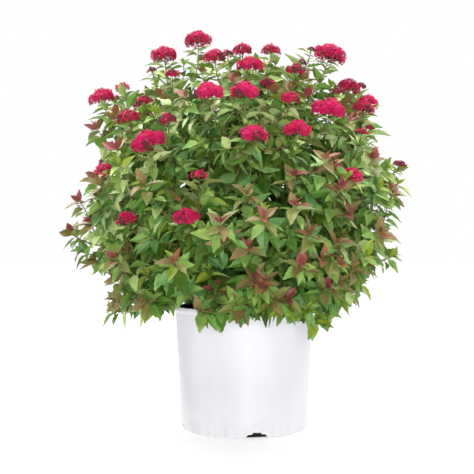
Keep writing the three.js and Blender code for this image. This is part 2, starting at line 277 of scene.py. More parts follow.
# how far out and how far up the lip each point of its outline stands
lipOutline = [(0.35, 0.04), (0.85, 0.16), (1, 0.35), (1, 0.62), (0.85, 0.85), (0.35, 0.98), (-0.3, 1)]
potLooks = {
    "low": shade(215, 213, 220), "high": shade(224, 223, 229),
    "plastic": {
        "grain": 9, "roughness": 0.38, "bump": 0.05, "bumpGrain": 900, "gloss": 0.4, "streaks": (1, 1, 0.35),
    },
    # a paler tone painted in patches towards the foot: painted light that lifts the shade at the foot
    "paintedLightTone": shade(241, 240, 242), "paintedLightHeight": 0.09, "paintedLightGrain": 38, "paintedLightDetail": 6,
    "skinTone": shade(24, 23, 24),
}
# half widths and heights up one side of a notch, from the foot to its stepped top
drain = {
    "count": 4, "firstTurn": 11, "depth": 0.016,
    "outline": [(0.0225, -0.001), (0.0220, 0.0005), (0.0170, 0.0080), (0.0095, 0.0088), (0.0068, 0.0118)],
}


def potRadiusAt(height):
    return lerp(pot["baseRadius"], pot["rimRadius"], height / pot["height"])


def potProfile():
    foot, lipFoot = pot["footRound"], pot["height"] - pot["lipHeight"]
    profile = [(0, 0), (pot["baseRadius"] - pot["heel"], 0)]
    for step in range(pot["footSteps"] + 1):
        angle = math.pi / 2 * step / pot["footSteps"]
        profile.append((pot["baseRadius"] - foot + foot * math.sin(angle), foot - foot * math.cos(angle)))
    heights = [
        *np.linspace(pot["ribFrom"], pot["ribHeight"] + pot["ribMargin"], pot["ribRows"]),
        *np.linspace(pot["wallFrom"], lipFoot - pot["underLip"], pot["wallRows"]),
        lipFoot,
    ]
    profile += [(potRadiusAt(height), height) for height in heights]
    for out, share in lipOutline:
        height = lerp(lipFoot, pot["height"], share)
        profile.append((potRadiusAt(height) + pot["lipProud"] * out, height))
    for height in [pot["height"] - pot["lipDrop"], *pot["innerHeights"]]:
        profile.append((potRadiusAt(height) - pot["wall"], height))
    return profile + [(pot["baseRadius"] - pot["wall"], pot["floor"]), (0, pot["floor"])]


def drainCutter(turn):
    # one stepped notch, a plug through the foot of the wall
    bm = bmesh.new()
    right = drain["outline"]
    outline = right + [(-half, height) for half, height in reversed(right)]
    near = pot["baseRadius"] + drain["depth"]
    face = bm.faces.new([bm.verts.new((half, -near, height)) for half, height in outline])
    grown = bmesh.ops.extrude_face_region(bm, geom=[face])
    far = [part for part in grown["geom"] if isinstance(part, bmesh.types.BMVert)]
    bmesh.ops.translate(bm, vec=(0, 2 * drain["depth"], 0), verts=far)
    bmesh.ops.recalc_face_normals(bm, faces=bm.faces)
    bmesh.ops.rotate(bm, cent=(0, 0, 0), matrix=Matrix.Rotation(math.radians(turn), 3, "Z"), verts=bm.verts)
    cutter = bpy.data.objects.new("drainCutter", meshFromBmesh("drainCutter", bm))
    bpy.context.scene.collection.objects.link(cutter)
    return cutter


def drawInRibs(corners):
    # shallow upright grooves round the foot of the outer wall
    for corner in corners:
        level, height = math.hypot(corner.co.x, corner.co.y), corner.co.z
        if level > potRadiusAt(height) - pot["wall"] / 2 and height < pot["ribHeight"]:
            wave = 0.5 + 0.5 * math.cos(pot["ribs"] * math.atan2(corner.co.y, corner.co.x))
            fade = (1 - height / pot["ribHeight"]) * min(1, max(0, height / pot["ribFoot"] - 1))
            pull = 1 - pot["ribDepth"] * wave ** pot["ribSharpness"] * fade ** pot["ribFade"] / level
            corner.co.x *= pull
            corner.co.y *= pull


def buildPot():
    bm = spun(potProfile(), pot["steps"])
    drawInRibs(bm.verts)
    whole = bpy.data.objects.new("potWhole", meshFromBmesh("potWhole", bm))
    bpy.context.scene.collection.objects.link(whole)
    cutters = [drainCutter(drain["firstTurn"] + 360 / drain["count"] * i) for i in range(drain["count"])]
    for cutter in cutters:
        cut = whole.modifiers.new("drain", "BOOLEAN")
        cut.object = cutter
        cut.operation = "DIFFERENCE"
        cut.solver = "EXACT"
    depsgraph = bpy.context.evaluated_depsgraph_get()
    mesh = bpy.data.meshes.new_from_object(whole.evaluated_get(depsgraph))
    mesh.name = "potShell"
    for helper in [whole, *cutters]:
        bpy.data.objects.remove(helper)
    return mesh


def potFinish():
    # satin white plastic with faint cloudiness, painted light in pale patches towards the foot that lifts the
    # shade there, and a black inner skin
    material = finishOf("whitePotPlastic", potLooks["low"], potLooks["high"], **potLooks["plastic"])
    surface = material.node_tree.nodes["Principled BSDF"]
    plain = surface.inputs["Base Color"].links[0].from_socket
    spot = addNode(material, "TexCoord", {}).outputs["Object"]
    apart = addNode(material, "SeparateXYZ", {"Vector": spot}).outputs
    # painted light: the wall turns paler in noisy patches towards the foot, lifting the shade there
    low = addNode(material, "MapRange", {
        "Value": apart["Z"], "From Min": 0.0, "From Max": potLooks["paintedLightHeight"], "To Min": 1, "To Max": 0,
    })
    paintedLightPatches = addNode(material, "TexNoise", {
        "Vector": spot, "Scale": potLooks["paintedLightGrain"], "Detail": potLooks["paintedLightDetail"],
    })
    paintedFootLight = addNode(material, "Math", {
        0: low.outputs["Result"], 1: paintedLightPatches.outputs["Fac"],
    }, operation="MULTIPLY")
    footLitColour = addNode(material, "Mix", {
        "Factor": paintedFootLight.outputs["Value"], "A": plain, "B": potLooks["paintedLightTone"],
    }, data_type="RGBA")
    flat = addNode(material, "CombineXYZ", {"X": apart["X"], "Y": apart["Y"]})
    # the distance from the pot's axis, and where the inner skin lies at each height
    level = addNode(material, "VectorMath", {0: flat.outputs["Vector"]}, operation="LENGTH")
    skin = addNode(material, "Math", {
        0: apart["Z"], 1: (pot["rimRadius"] - pot["baseRadius"]) / pot["height"],
        2: pot["baseRadius"] - pot["skinDepth"],
    }, operation="MULTIPLY_ADD")
    inside = addNode(material, "Math", {
        0: level.outputs["Value"], 1: skin.outputs["Value"],
    }, operation="LESS_THAN")
    lined = addNode(material, "Mix", {
        "Factor": inside.outputs["Value"], "A": footLitColour.outputs["Result"], "B": potLooks["skinTone"],
    }, data_type="RGBA")
    feed(material, surface, {"Base Color": lined.outputs["Result"]})
    return material


pieceFrom("potShell", buildPot(), potFinish(), ["pot"])
print("pot built")


# Potting mix

soil = {
    "level": 0.221, "crownHeight": 0.003, "flat": 0.053, "gap": 0.0003, "steps": 96, "rings": 30,
    "innerRing": 0.004, "wallHeights": [0.08, 0.15, 0.21], "roughBand": 0.002, "roughness": 0.0016,
    "lumpGrain": 90, "crumbGrain": 260, "crumbShare": 0.6,
    "low": shade(22, 17, 14), "high": shade(48, 37, 28),
    "finish": {"grain": 260, "roughness": 0.92, "bump": 0.9, "bumpGrain": 1100, "gloss": 0.2},
}
chip = {
    "seed": 41, "count": 2300, "smallest": 0.0011, "largest": 0.0042, "mostlySmall": 2.2, "fromEdge": 0.0035,
    "tilt": 0.5, "lift": 0.25, "shape": (1.5, 0.9, 0.5), "lumps": 0.45, "lumpGrain": 1.7,
    "lumpSeeds": [1.3, 5.1, 9.7],
    "finish": {"grain": 220, "roughness": 0.9, "bump": 0.6, "bumpGrain": 1400, "gloss": 0.2},
}
# each kind of chip with its two tones and its share of all
chipKinds = {
    "chipsDark": (shade(20, 16, 13), shade(36, 28, 22), 0.6),
    "chipsBrown": (shade(52, 38, 28), shade(76, 56, 40), 0.31),
    "chipsTan": (shade(104, 82, 60), shade(128, 104, 78), 0.09),
}


def soilRadiusAt(height):
    return potRadiusAt(height) - pot["wall"] - soil["gap"]


def soilHeightAt(level):
    slope = (soilRadiusAt(soil["level"]) - level) / (soilRadiusAt(soil["level"]) - soil["flat"])
    return soil["level"] + soil["crownHeight"] * min(max(slope, 0), 1)


def buildSoil():
    foot = pot["floor"] + soil["gap"]
    edge = soilRadiusAt(soil["level"])
    profile = [(0, foot), (pot["baseRadius"] - pot["wall"] - soil["gap"], foot)]
    profile += [(soilRadiusAt(height), height) for height in soil["wallHeights"]]
    profile += [(level, soilHeightAt(level)) for level in np.linspace(edge, soil["innerRing"], soil["rings"])]
    bm = spun(profile + [(0, soilHeightAt(0))], soil["steps"])
    for corner in bm.verts:
        if corner.co.z > soil["level"] - soil["roughBand"]:
            crumbs = soil["crumbShare"] * noise.noise(corner.co * soil["crumbGrain"])
            corner.co.z += soil["roughness"] * (noise.noise(corner.co * soil["lumpGrain"]) + crumbs)
    return meshFromBmesh("mixBed", bm)


def chipTemplate(seed):
    # a small broken lump of bark or peat
    bm = bmesh.new()
    bmesh.ops.create_icosphere(bm, subdivisions=1, radius=1)
    for corner in bm.verts:
        corner.co *= 1 + chip["lumps"] * noise.noise(corner.co * chip["lumpGrain"] + Vector((seed, 0, 0)))
    bmesh.ops.scale(bm, vec=chip["shape"], verts=bm.verts)
    return templateFrom(bm)


def spreadChips():
    # chips lie thick over the bed, deepest colour most often
    templates = [chipTemplate(seed) for seed in chip["lumpSeeds"]]
    beds = {kind: [] for kind in chipKinds}
    shares = [share for _, _, share in chipKinds.values()]
    edge = soilRadiusAt(soil["level"]) - chip["fromEdge"]
    random = np.random.default_rng(chip["seed"])
    for i in range(chip["count"]):
        level = edge * math.sqrt((i + 0.5) / chip["count"])
        turn = math.radians(goldenTurn * i)
        size = lerp(chip["smallest"], chip["largest"], random.random() ** chip["mostlySmall"])
        height = soilHeightAt(level) + chip["lift"] * size
        root = np.array([level * math.cos(turn), level * math.sin(turn), height])
        angles = [random.uniform(-chip["tilt"], chip["tilt"]) for _ in "XY"]
        angles.append(random.uniform(0, 2 * math.pi))
        tiltX, tiltY, turnZ = (Matrix.Rotation(angle, 3, axis) for angle, axis in zip(angles, "XYZ"))
        way = turnZ @ (tiltX @ tiltY)
        kind = random.choice(list(chipKinds), p=shares)
        beds[kind].append((i % len(templates), (root, size * np.array(way.transposed()))))
    for name, (low, high, _) in chipKinds.items():
        finish = finishOf(name, low, high, **chip["finish"])
        parts = strewn(templates, beds[name])
        joinedPiece(name, parts, finish, ["potting_mix"], smooth=False)


bedFinish = finishOf("moistMix", soil["low"], soil["high"], **soil["finish"])
pieceFrom("mixBed", buildSoil(), bedFinish, ["potting_mix"])
spreadChips()
print("potting mix laid")


# Masses and limbs, laid out by the rule of the part's source

crown = {"heart": np.array([-0.012, 0.0, 0.330]), "levelReach": 0.308, "reachPerDegree": 0.00175}
# rings of masses from the top down: those with forkAt are carried by boughs that fork from the stems there,
# and the others by the stems themselves
rings = [
    {"name": "crown_top", "count": 3, "rise": 72, "firstTurn": 30, "inner": 0.175},
    {"name": "shoulder", "count": 6, "rise": 42, "firstTurn": 8, "inner": 0.150},
    {"name": "waist", "count": 8, "rise": 13, "firstTurn": -20, "inner": 0.135, "forkAt": 0.5},
    {"name": "skirt", "count": 9, "rise": -14, "firstTurn": 0, "inner": 0.128, "forkAt": 0.24},
]
stem = {
    "footRing": 0.038, "innerShare": 0.32, "innerTurn": 30, "footRadius": 0.0050, "tipRadius": 0.0031,
    "flare": 0.0026, "flareHeight": 0.014, "ground": 0.2243, "sides": 14, "steps": 44,
}
bough = {
    "footRadius": 0.0029, "tipRadius": 0.0021, "footRise": 35, "forkStep": 0.035, "forkSteps": 3,
    "collar": 0.0012, "collarShare": 0.12, "sides": 12, "steps": 26,
}
# ridges, grain and scars: how finely each runs across and along a limb, and how high it stands
bark = {
    "ridges": (1.9, 26, 0.12), "grain": (4.5, 130, 0.05), "scars": (0.9, 55, 0.7), "scarsOver": 0.22,
    "limbShift": 3.7, "scarShift": 9, "low": shade(92, 66, 48), "high": shade(134, 104, 78),
    "finish": {
        "grain": 60, "roughness": 0.78, "bump": 0.6, "bumpGrain": 700, "gloss": 0.3, "streaks": (1, 1, 0.25),
    },
}


def crownReach(rise):
    return crown["levelReach"] + crown["reachPerDegree"] * rise


def layOutMasses():
    masses = []
    for ring in rings:
        for i in range(ring["count"]):
            turn = ring["firstTurn"] + 360 / ring["count"] * i
            way = direction(turn, ring["rise"])
            entry = crown["heart"] + way * ring["inner"]
            name = f"{ring['name']}_{i + 1}"
            masses.append({"name": name, "ring": ring, "turn": turn, "way": way, "entry": entry})
    return masses


def growStems(masses):
    stems = []
    for mass in masses:
        if "forkAt" in mass["ring"]:
            continue
        inner = mass["ring"]["name"] == "crown_top"
        foot = direction(mass["turn"] + (stem["innerTurn"] if inner else 0), 0)
        foot = foot * stem["footRing"] * (stem["innerShare"] if inner else 1)
        foot[2] = stem["ground"]
        path = bend(foot, up, mass["entry"], mass["way"])
        stems.append({"name": f"stem_{len(stems) + 1}", "path": path, "forks": not inner, "mass": mass})
    return stems


def growBoughs(masses, stems):
    boughs = []
    outer = [each for each in stems if each["forks"]]
    for mass in masses:
        if "forkAt" not in mass["ring"]:
            continue
        share = mass["ring"]["forkAt"] + bough["forkStep"] * (len(boughs) % bough["forkSteps"])
        carrier = min(outer, key=lambda each: np.linalg.norm(pointsOn(each["path"], share) - mass["entry"]))
        foot = pointsOn(carrier["path"], share)
        path = bend(foot, direction(mass["turn"], bough["footRise"]), mass["entry"], mass["way"])
        boughs.append({"name": f"bough_{len(boughs) + 1}", "path": path, "mass": mass})
    return boughs


def stemRadius(path, along):
    rise = pointsOn(path, along)[..., 2] - stem["ground"]
    taper = lerp(stem["footRadius"], stem["tipRadius"], along)
    return taper + stem["flare"] * np.maximum(0, 1 - rise / stem["flareHeight"]) ** 2


def boughRadius(path, along):
    taper = lerp(bough["footRadius"], bough["tipRadius"], along)
    return taper + bough["collar"] * np.maximum(0, 1 - along / bough["collarShare"]) ** 2


def tubeTemplate(sides, steps):
    # an upright tube of radius 1 and height 1, closed at both ends
    bm = bmesh.new()
    bmesh.ops.create_cone(
        bm, cap_ends=True, cap_tris=True, segments=sides, radius1=1, radius2=1, depth=1,
    )
    bmesh.ops.translate(bm, vec=(0, 0, 0.5), verts=bm.verts)
    uprights = [edge for edge in bm.edges if abs(edge.verts[0].co.z - edge.verts[1].co.z) > 0.5]
    bmesh.ops.subdivide_edges(bm, edges=uprights, cuts=steps - 1, use_grid_fill=True)
    bmesh.ops.recalc_face_normals(bm, faces=bm.faces)
    return templateFrom(bm)


def alongPath(template, path, radii):
    # the tube's corners carried onto a path, each ring square to it
    corners, triangles = template
    along = np.clip(corners[:, 2], 0, 1)
    ways = waysOn(path, along)
    chord = path[3] - path[0]
    level = np.array([-chord[1], chord[0], 0.0])
    if np.linalg.norm(level) < 0.001:  # an upright path
        level = np.array([1.0, 0.0, 0.0])
    across = level - ways * (ways @ level)[:, None]
    across /= np.linalg.norm(across, axis=1, keepdims=True)
    other = np.cross(across, ways)
    spots = pointsOn(path, along)
    spots = spots + across * (corners[:, :1] * radii[:, None]) - other * (corners[:, 1:2] * radii[:, None])
    return spots, triangles


def barkNoise(kind, x, y, height, shift):
    across, along, _ = bark[kind]
    return noise.noise(Vector((x * across, y * across, height * along + shift)))


def barkRelief(corners, length, seed):
    # long shallow ridges with raised leaf scars now and then
    relief = []
    for x, y, along in corners:
        height = along * length
        ridge = barkNoise("ridges", x, y, height, seed)
        grain = barkNoise("grain", x, y, height, seed)
        scar = max(0, barkNoise("scars", x, y, height, bark["scarShift"] * seed) - bark["scarsOver"])
        relief.append(1 + bark["ridges"][2] * ridge + bark["grain"][2] * grain + bark["scars"][2] * scar)
    return np.array(relief)


def buildLimbs():
    finish = finishOf("twiggyBark", bark["low"], bark["high"], **bark["finish"])
    for limbs, radiusAt, sizes in ((stems, stemRadius, stem), (boughs, boughRadius, bough)):
        template = tubeTemplate(sizes["sides"], sizes["steps"])
        along = np.clip(template[0][:, 2], 0, 1)
        for number, limb in enumerate(limbs):
            relief = barkRelief(template[0], lengthOf(limb["path"]), number * bark["limbShift"])
            radii = radiusAt(limb["path"], along) * relief
            name = limb["name"].replace("_", "Bark_")
            mesh = joinedMesh(name, [alongPath(template, limb["path"], radii)])
            pieceFrom(name, mesh, finish, [limb["name"]])


masses = layOutMasses()
stems = growStems(masses)
boughs = growBoughs(masses, stems)
buildLimbs()
print("stems and boughs grown:", len(stems), len(boughs))


# Tips: flower heads and leafy sprays round the crown

# turn, rise, stand-out, width, share of open florets, and how deep the colour is
frontHeads = [
    [-51, 77, 3, 54, 0.85, 0.55], [-62, 68, 6, 50, 0.90, 0.60], [-12, 62, 0, 42, 0.80, 0.75],
    [3, 65, 0, 38, 0.80, 0.65], [21, 66, 0, 36, 0.50, 0.80], [6, 58, 0, 46, 0.95, 0.40],
    [65, 64, 24, 66, 0.85, 0.40], [14, 54, -16, 32, 0.25, 0.90], [28, 57, 0, 36, 0.20, 0.90],
    [-31, 56, 0, 28, 0.15, 0.90], [-11, 48, 0, 52, 1.00, 0.30], [3, 48, 0, 50, 1.00, 0.35],
    [71, 56, 2, 50, 0.70, 0.70], [20, 46, 0, 34, 1.00, 0.55], [36, 44, 0, 60, 1.00, 0.20],
    [66, 48, 0, 42, 0.90, 0.75], [-24, 40, 0, 32, 0.20, 0.80], [5, 35, 0, 46, 1.00, 0.45],
    [20, 37, 0, 46, 1.00, 0.50], [49, 38, 0, 22, 0.30, 0.90], [-30, 34, 0, 60, 1.00, 0.30],
    [-72, 49, 27, 50, 0.95, 0.40], [-71, 55, 7, 28, 0.90, 0.60], [-43, 42, 0, 46, 0.50, 0.90],
    [-38, 47, 0, 24, 0.20, 1.00], [-48, 27, 0, 36, 0.80, 0.70], [-11, 24, 0, 26, 0.45, 0.80],
    [-36, 13, 0, 34, 0.90, 0.60], [-15, 13, 0, 44, 1.00, 0.50], [38, 25, 0, 38, 1.00, 0.45],
    [77, 30, 12, 28, 0.15, 1.00], [72, 70, 15, 17, 0.05, 1.00], [57, 69, -18, 24, 0.10, 1.00],
    [85, 55, 25, 22, 0.05, 1.00], [57, 55, -16, 26, 0.10, 1.00], [-74, 65, -5, 19, 0.10, 1.00],
    [-8, 71, -22, 22, 0.10, 1.00], [68, 43, -12, 20, 0.10, 1.00],
]
frontWidthShare = 0.95
backHeads = {"behind": 171, "highestRise": 58, "wander": 5, "widthShare": 0.95}
# leafy sprays between the heads
leafyTips = {
    "count": 100, "crowdedBelow": 1.3, "clear": 10, "shortest": 0.88, "longest": 1.01, "lowestRise": -16,
    "keyShift": 0.4,
}
# turn, rise, stand-out and the colour of the new leaves
outSprays = [
    [-77, 9, 10, "crimson"], [-77, 20, -8, "crimson"], [-78, 4, 0, "plain"], [-74, 42, 0, "crimson"],
    [-77, -21, 0, "fresh"], [67, 24, 6, "lime"], [69, 2, 2, "lime"], [40, -20, -8, "lime"],
    [1, -15, 0, "bronze"],
    [20, -15, 0, "fresh"], [-8, -17, 4, "fresh"], [-44, -10, 0, "fresh"], [19, 74, -40, "fresh"],
    [56, 77, -45, "fresh"], [-12, -18, -8, "fresh"], [72, 64, -30, "plain"], [58, 62, -44, "fresh"],
    [-58, 72, -30, "fresh"], [-70, 64, -34, "fresh"], [74, 61, -22, "fresh"],
]
# turn, rise, how far round each counts, change of reach, and share of the sprays kept
shapings = [
    [-90, -14, 26, -0.14, 0.50], [-62, -14, 18, -0.04, 0.60], [88, -14, 26, -0.17, 0.85],
    [84, 5, 20, -0.18, 1.00], [-92, 4, 22, -0.14, 0.60], [62, -20, 20, -0.10, 0.80],
    [-90, 34, 22, -0.12, 0.90], [180, -16, 24, -0.05, 0.90], [0, 4, 56, 0.13, 1], [180, 8, 50, 0.045, 1],
    [0, 82, 48, -0.09, 0.85], [-88, 20, 14, -0.08, 0.80], [86, 31, 18, -0.08, 1.00], [88, 9, 14, -0.10, 0.80],
    [-88, 38, 12, -0.10, 0.80], [-84, 12, 12, -0.05, 0.60], [-5, -3, 11, -0.30, 0.30],
    [-2, 26, 9, -0.30, 0.30], [86, 14, 10, -0.08, 0.95],
]
shapingHold = 1.6  # how firmly a shaping's share of kept sprays holds away from its middle
# open to the rim and the mix: nothing grows in this box in front of the pot
frontNotch = {"from": np.array([-0.118, -0.45, 0.19]), "to": np.array([-0.086, -0.075, 0.256])}
# finer sprays between the main ones
fineTips = {
    "count": 580, "crowdedBelow": 1.12, "clear": 3.5, "shortest": 0.66, "longest": 0.93, "lowestRise": -14,
    "keyShift": 0.8,
}
# short plain sprays that fill the inside of the crown
innerTips = {
    "count": 150, "crowdedBelow": 1.0, "clear": 0, "shortest": 0.40, "longest": 0.68, "lowestRise": -12,
    "keyShift": 0.6,
}
# short sprays in a ring that close the crown down to the rim
rimTips = {"count": 22, "firstTurn": 6, "rises": [-27, -17], "reaches": [0.150, 0.205]}
# sprays with coloured new leaves: their reach, how far their copies behind wander, and their turns and rises
tinted = {"reaches": [0.975, 1.01], "turnWander": 9, "riseWander": 6}
tintedTips = {
    "crimson": [
        (-40, 1), (-8, -10), (-74, 44), (50, 30), (28, 25), (29, 19), (15, 14), (3, 4), (18, -1),
        (5, -5), (29, -8), (-4, 10), (15, -11), (7, 11), (-19, 47), (30, 50), (44, 41), (-40, 31),
        (74, 22), (-52, 12),
    ],
    "orange": [
        (-17, 0), (29, 5), (60, 22), (7, -6), (25, 1), (27, 55), (-2, 53), (-18, 45), (15, 51),
        (-59, 46), (30, 0), (19, 7), (25, 26), (-56, 26), (50, 8), (58, 46), (-34, 50), (60, 52),
    ],
    "bronze": [
        (-31, -13), (-48, 19), (-48, -14), (11, -11), (38, -2), (-12, -15), (33, -7), (-3, 6),
        (-26, 20), (-25, 66), (23, 51), (51, -12), (-59, -15), (-44, -6),
        (-46, 22), (66, 46), (-72, 0), (45, -1), (74, -2), (-64, 46), (40, 60), (0, 60), (82, 60),
    ],
    "lime": [
        (15, -14), (42, 2), (24, -15), (37, -13), (-10, -3), (54, 23), (-36, 26), (32, 22),
        (-32, 44), (31, -21), (45, -7), (62, 29),
    ],
}
twig = {
    "leaderTip": 0.0013, "sideFoot": 0.0016, "sideTip": 0.0009, "fineFoot": 0.0011, "fineTip": 0.0007,
    "taper": 0.8, "firstFork": 0.08, "lastFork": 0.6, "fineForks": [0.3, 0.68], "fineOut": 0.8,
    "headBack": 0.46, "headSunk": 0.36, "headLean": 0.6, "leafLean": 1.6, "leafBack": 0.010, "showBack": 0.0,
}


def shapingAt(turn, rise):
    # how much the reach changes there and what share of the sprays is kept
    change, kept = 0, 1
    for atTurn, atRise, wide, reachChange, keptShare in shapings:
        apart = math.degrees(math.acos(min(1, direction(turn, rise) @ direction(atTurn, atRise))))
        weight = max(0, 1 - (apart / wide) ** 2)
        change += reachChange * weight
        kept = min(kept, lerp(1, keptShare, min(1, shapingHold * weight)))
    return change, kept


def spiralTips(sizes, known):
    # leafy tips on a spiral from the skirt to the top, left out where a known tip already stands
    lowest = math.sin(math.radians(sizes["lowestRise"]))
    room = math.cos(math.radians(sizes["clear"]))
    taken = np.array([direction(tip["turn"], tip["rise"]) for tip in known])
    shift = sizes["keyShift"]
    tips = []
    for i in range(sizes["count"]):
        height = lowest + (1 - lowest) * ((i + 0.5) / sizes["count"]) ** sizes["crowdedBelow"]
        rise = math.degrees(math.asin(height))
        turn = goldenTurn * i
        change, kept = shapingAt(turn, rise)
        if (taken @ direction(turn, rise)).max() > room or chance(i + 2.3 * shift) > kept:
            continue
        reach = crownReach(rise) * (between(sizes["shortest"], sizes["longest"], i + shift) + change)
        tips.append({"turn": turn, "rise": rise, "reach": reach, "width": 0})
    return tips


def dealTo(masses, tips, firstKey):
    # each tip goes to the mass whose way lies nearest to its own
    for i, tip in enumerate(tips):
        tip["way"] = direction(tip["turn"], tip["rise"])
        tip["key"] = firstKey + i
        tip["mass"] = max(masses, key=lambda each: each["way"] @ tip["way"])
    return tips


def mainTips():
    heads = []
    for turn, rise, out, width, openShare, depth in frontHeads:
        heads.append({
            "turn": turn, "rise": rise, "out": out / 1000, "width": frontWidthShare * width / 1000,
            "open": openShare, "depth": depth,
        })
    behind = []
    for i, head in enumerate([each for each in heads if each["rise"] < backHeads["highestRise"]]):
        behind.append({
            **head,
            "turn": head["turn"] + backHeads["behind"] + between(-1, 1, i + 0.2) * backHeads["wander"],
            "rise": head["rise"] + between(-1, 1, i + 0.6) * backHeads["wander"],
            "width": head["width"] * backHeads["widthShare"],
        })
    sprays = [
        {"turn": turn, "rise": rise, "out": out / 1000, "width": 0, "tint": tint}
        for turn, rise, out, tint in outSprays
    ]
    known = [*heads, *behind, *sprays]
    for tip in known:
        tip["reach"] = crownReach(tip["rise"]) + tip["out"]
    return known + spiralTips(leafyTips, known)


def tintedSprays():
    # each coloured spray at its place in front, and once more behind
    sprays = []
    aside, above = tinted["turnWander"], tinted["riseWander"]
    for tint, places in tintedTips.items():
        for turn, rise in places:
            key = len(sprays) + 0.37
            behind = (
                turn + 180 + between(-aside, aside, key + 0.3), rise + between(-above, above, key + 0.5),
            )
            for toTurn, toRise in ((turn, rise), behind):
                reach = crownReach(toRise) * (between(*tinted["reaches"], key) + shapingAt(toTurn, toRise)[0])
                sprays.append({"turn": toTurn, "rise": toRise, "reach": reach, "width": 0, "tint": tint})
    return sprays


def fineTipList():
    # coloured sprays, a fine spiral in several depths, a looser one inside and a ring at the rim
    coloured = tintedSprays()
    outer = spiralTips(fineTips, coloured)
    inner = spiralTips(innerTips, coloured)
    rim = []
    for i in range(rimTips["count"]):
        turn = 360 / rimTips["count"] * i + rimTips["firstTurn"]
        rise, reach = between(*rimTips["rises"], i + 0.23), between(*rimTips["reaches"], i + 0.57)
        rim.append({"turn": turn, "rise": rise, "reach": reach, "width": 0})
    for tip in inner + rim:
        tip["tint"] = "plain"
    return coloured + outer + inner + rim


def finishAt(tip):
    # where a twig ends and the way it points there: flower heads face up, leafy tips outward
    lean = twig["headLean"] if tip["width"] else twig["leafLean"]
    way = unit(tip["way"] * lean + up)
    back = 0 if tip["width"] else twig["showBack" if "tint" in tip or "out" in tip else "leafBack"]
    point = crown["heart"] + tip["way"] * (tip["reach"] - back)
    if tip["width"]:
        point = point - way * tip["width"] * twig["headBack"] * twig["headSunk"]
    return point, way


def inNotch(spots):
    return ((spots > frontNotch["from"]) & (spots < frontNotch["to"])).all(axis=-1)


def shootOf(path, tip, foot, thin, rank):
    return {"path": path, "tip": tip, "foot": foot, "thin": thin, "rank": rank}


def growTwigs(masses, limbs, main, fine):
    # a leader from each limb, side twigs from the leader, and finer twigs from those
    shoots = []
    limbRadius = {}
    for limb in limbs:
        limbRadius[limb["mass"]["name"]] = stem["tipRadius"] if "forks" in limb else bough["tipRadius"]
    for mass in masses:
        own = [tip for tip in main if tip["mass"] is mass]
        own.sort(key=lambda tip: -(tip["way"] @ mass["way"]))
        end, endWay = finishAt(own[0])
        leader = bend(mass["entry"], mass["way"], end, endWay)
        mains = [shootOf(leader, own[0], limbRadius[mass["name"]], twig["leaderTip"], "main")]
        for i, tip in enumerate(own[1:]):
            share = lerp(twig["lastFork"], twig["firstFork"], i / len(own))
            end, endWay = finishAt(tip)
            path = bend(pointsOn(leader, share), waysOn(leader, share), end, endWay)
            mains.append(shootOf(path, tip, twig["sideFoot"], twig["sideTip"], "main"))
        shoots += mains
        for tip in (tip for tip in fine if tip["mass"] is mass):
            carrier = max(mains, key=lambda shoot: shoot["tip"]["way"] @ tip["way"])
            share = between(*twig["fineForks"], tip["key"] + 0.9)
            end, endWay = finishAt(tip)
            if inNotch(end):
                continue
            foot = pointsOn(carrier["path"], share)
            start = unit(waysOn(carrier["path"], share) + twig["fineOut"] * unit(end - foot))
            path = bend(foot, start, end, endWay)
            shoots.append(shootOf(path, tip, twig["fineFoot"], twig["fineTip"], "fine"))
    return shoots


mainList = dealTo(masses, mainTips(), 1)
fineList = dealTo(masses, fineTipList(), 1001)
shoots = growTwigs(masses, [*stems, *boughs], mainList, fineList)
print("shoots grown:", len(mainList), "main and", len(fineList), "fine")


# Twigs, joined into a brown and a green piece

# each rank of twig with its piece, its sides and steps, and its two tones
twigRanks = {
    "main": ("twigsBrown", 6, 9, shade(92, 68, 46), shade(128, 106, 66)),
    "fine": ("twigsGreen", 5, 6, shade(104, 92, 46), shade(122, 132, 62)),
}
twigFinish = {
    "grain": 45, "roughness": 0.62, "bump": 0.3, "bumpGrain": 800, "gloss": 0.35, "streaks": (1, 1, 0.4),
}


def buildTwigs():
    for rank, (name, sides, steps, low, high) in twigRanks.items():
        template = tubeTemplate(sides, steps)
        along = np.clip(template[0][:, 2], 0, 1) ** twig["taper"]
        parts = [
            alongPath(template, shoot["path"], lerp(shoot["foot"], shoot["thin"], along))
            for shoot in shoots if shoot["rank"] == rank
        ]
        joinedPiece(name, parts, finishOf(name, low, high, **twigFinish), foliageNodes)


buildTwigs()
print("twigs joined")


# Leaves

leaf = {
    "stations": [0, 0.07, 0.13, 0.22, 0.33, 0.45, 0.57, 0.69, 0.81, 0.92, 1],
    "halfWidths": [0.012, 0.014, 0.108, 0.194, 0.238, 0.240, 0.208, 0.160, 0.104, 0.046, 0],
    "teeth": 0.011, "fold": 0.42, "droops": [0.04, 0.13, 0.24], "shortening": 0.25, "veins": 0.009,
    "ripple": 0.048, "rippleWaves": 9, "rippleSide": 1.3, "rippleStep": 2.1, "faceOut": 0.8, "faceUp": 0.6,
    "finish": {"grain": 34, "roughness": 0.5, "bump": 0.25, "bumpGrain": 420, "gloss": 0.35},
}
